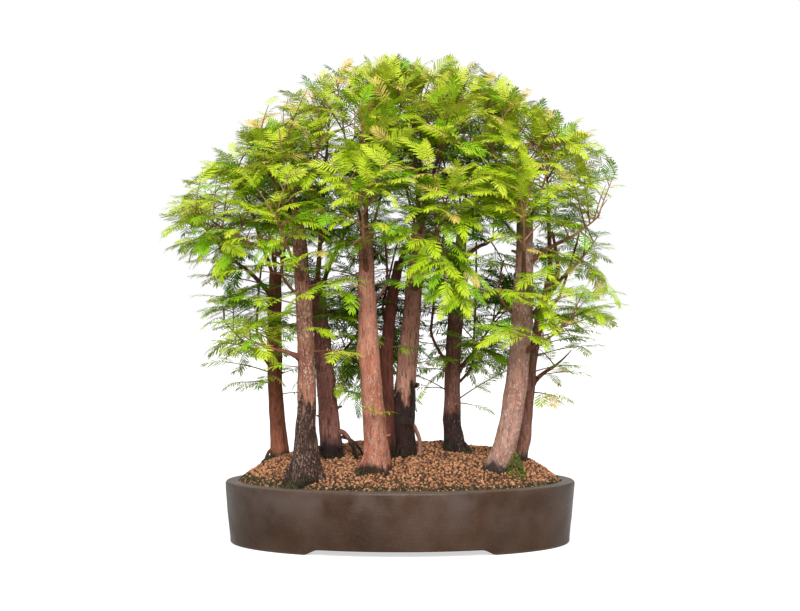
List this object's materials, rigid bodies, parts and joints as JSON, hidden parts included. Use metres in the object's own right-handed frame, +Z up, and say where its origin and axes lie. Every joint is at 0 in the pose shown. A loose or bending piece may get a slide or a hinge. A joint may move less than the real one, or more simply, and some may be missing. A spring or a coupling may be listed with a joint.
{
  "type": "dawn redwood bonsai group",
  "caption": "Bonsai group of upright conifers with bare lower stems and feathery crowns, growing on mounded soil in a low oval stoneware pot",
  "frame": {"origin": "centre of the bounding box at the level of the pot's underside", "axes": "+Z up, +X along the pot towards the right of the picture, -Y towards the picture's camera"},
  "size_m": [0.6842, 0.4914, 0.6884],
  "materials": {
    "stoneware": "unglazed brown stoneware, satin",
    "soil": "loose angular fired clay grains, matt",
    "bark": "reddish brown fibrous bark, matt",
    "needles": "soft bright green needles"
  },
  "bodies": {
    "root": {"pot": "stoneware", "soil": "soil", "trunk_far_left": "bark", "trunk_front_left": "bark", "trunk_inner_left": "bark", "trunk_front_centre": "bark", "trunk_inner_centre": "bark", "trunk_centre": "bark", "trunk_rear_right": "bark", "trunk_front_right": "bark", "trunk_inner_right": "bark", "aerial_root": "bark", "bough_inner_left_top": "bark", "bough_centre_front_top": "bark", "bough_inner_right_top": "bark", "bough_far_left_side": "bark", "bough_front_left_side": "bark", "bough_front_left_front": "bark", "bough_front_centre_front": "bark", "bough_centre_front": "bark", "bough_front_right_front": "bark", "bough_front_right_side": "bark", "bough_inner_right_side": "bark", "bough_rear_right_back": "bark", "bough_inner_centre_back": "bark", "bough_inner_left_back": "bark", "bough_far_left_back": "bark", "bough_far_left_low": "bark", "bough_front_left_low": "bark", "bough_inner_left_low": "bark", "bough_rear_right_low": "bark", "bough_front_right_low": "bark", "bough_inner_right_low": "bark", "foliage_far_left_top": "needles", "foliage_front_left_top": "needles", "foliage_front_centre_top": "needles", "foliage_centre_top": "needles", "foliage_rear_right_top": "needles", "foliage_front_right_top": "needles", "foliage_inner_left_top": "needles", "foliage_centre_front_top": "needles", "foliage_inner_right_top": "needles", "foliage_far_left_side": "needles", "foliage_front_left_side": "needles", "foliage_front_left_front": "needles", "foliage_front_centre_front": "needles", "foliage_centre_front": "needles", "foliage_front_right_front": "needles", "foliage_front_right_side": "needles", "foliage_inner_right_side": "needles", "foliage_rear_right_back": "needles", "foliage_inner_centre_back": "needles", "foliage_inner_left_back": "needles", "foliage_far_left_back": "needles", "foliage_far_left_low": "needles", "foliage_front_left_low": "needles", "foliage_inner_left_low": "needles", "foliage_rear_right_low": "needles", "foliage_front_right_low": "needles", "foliage_inner_right_low": "needles"}
  },
  "joints": []
}
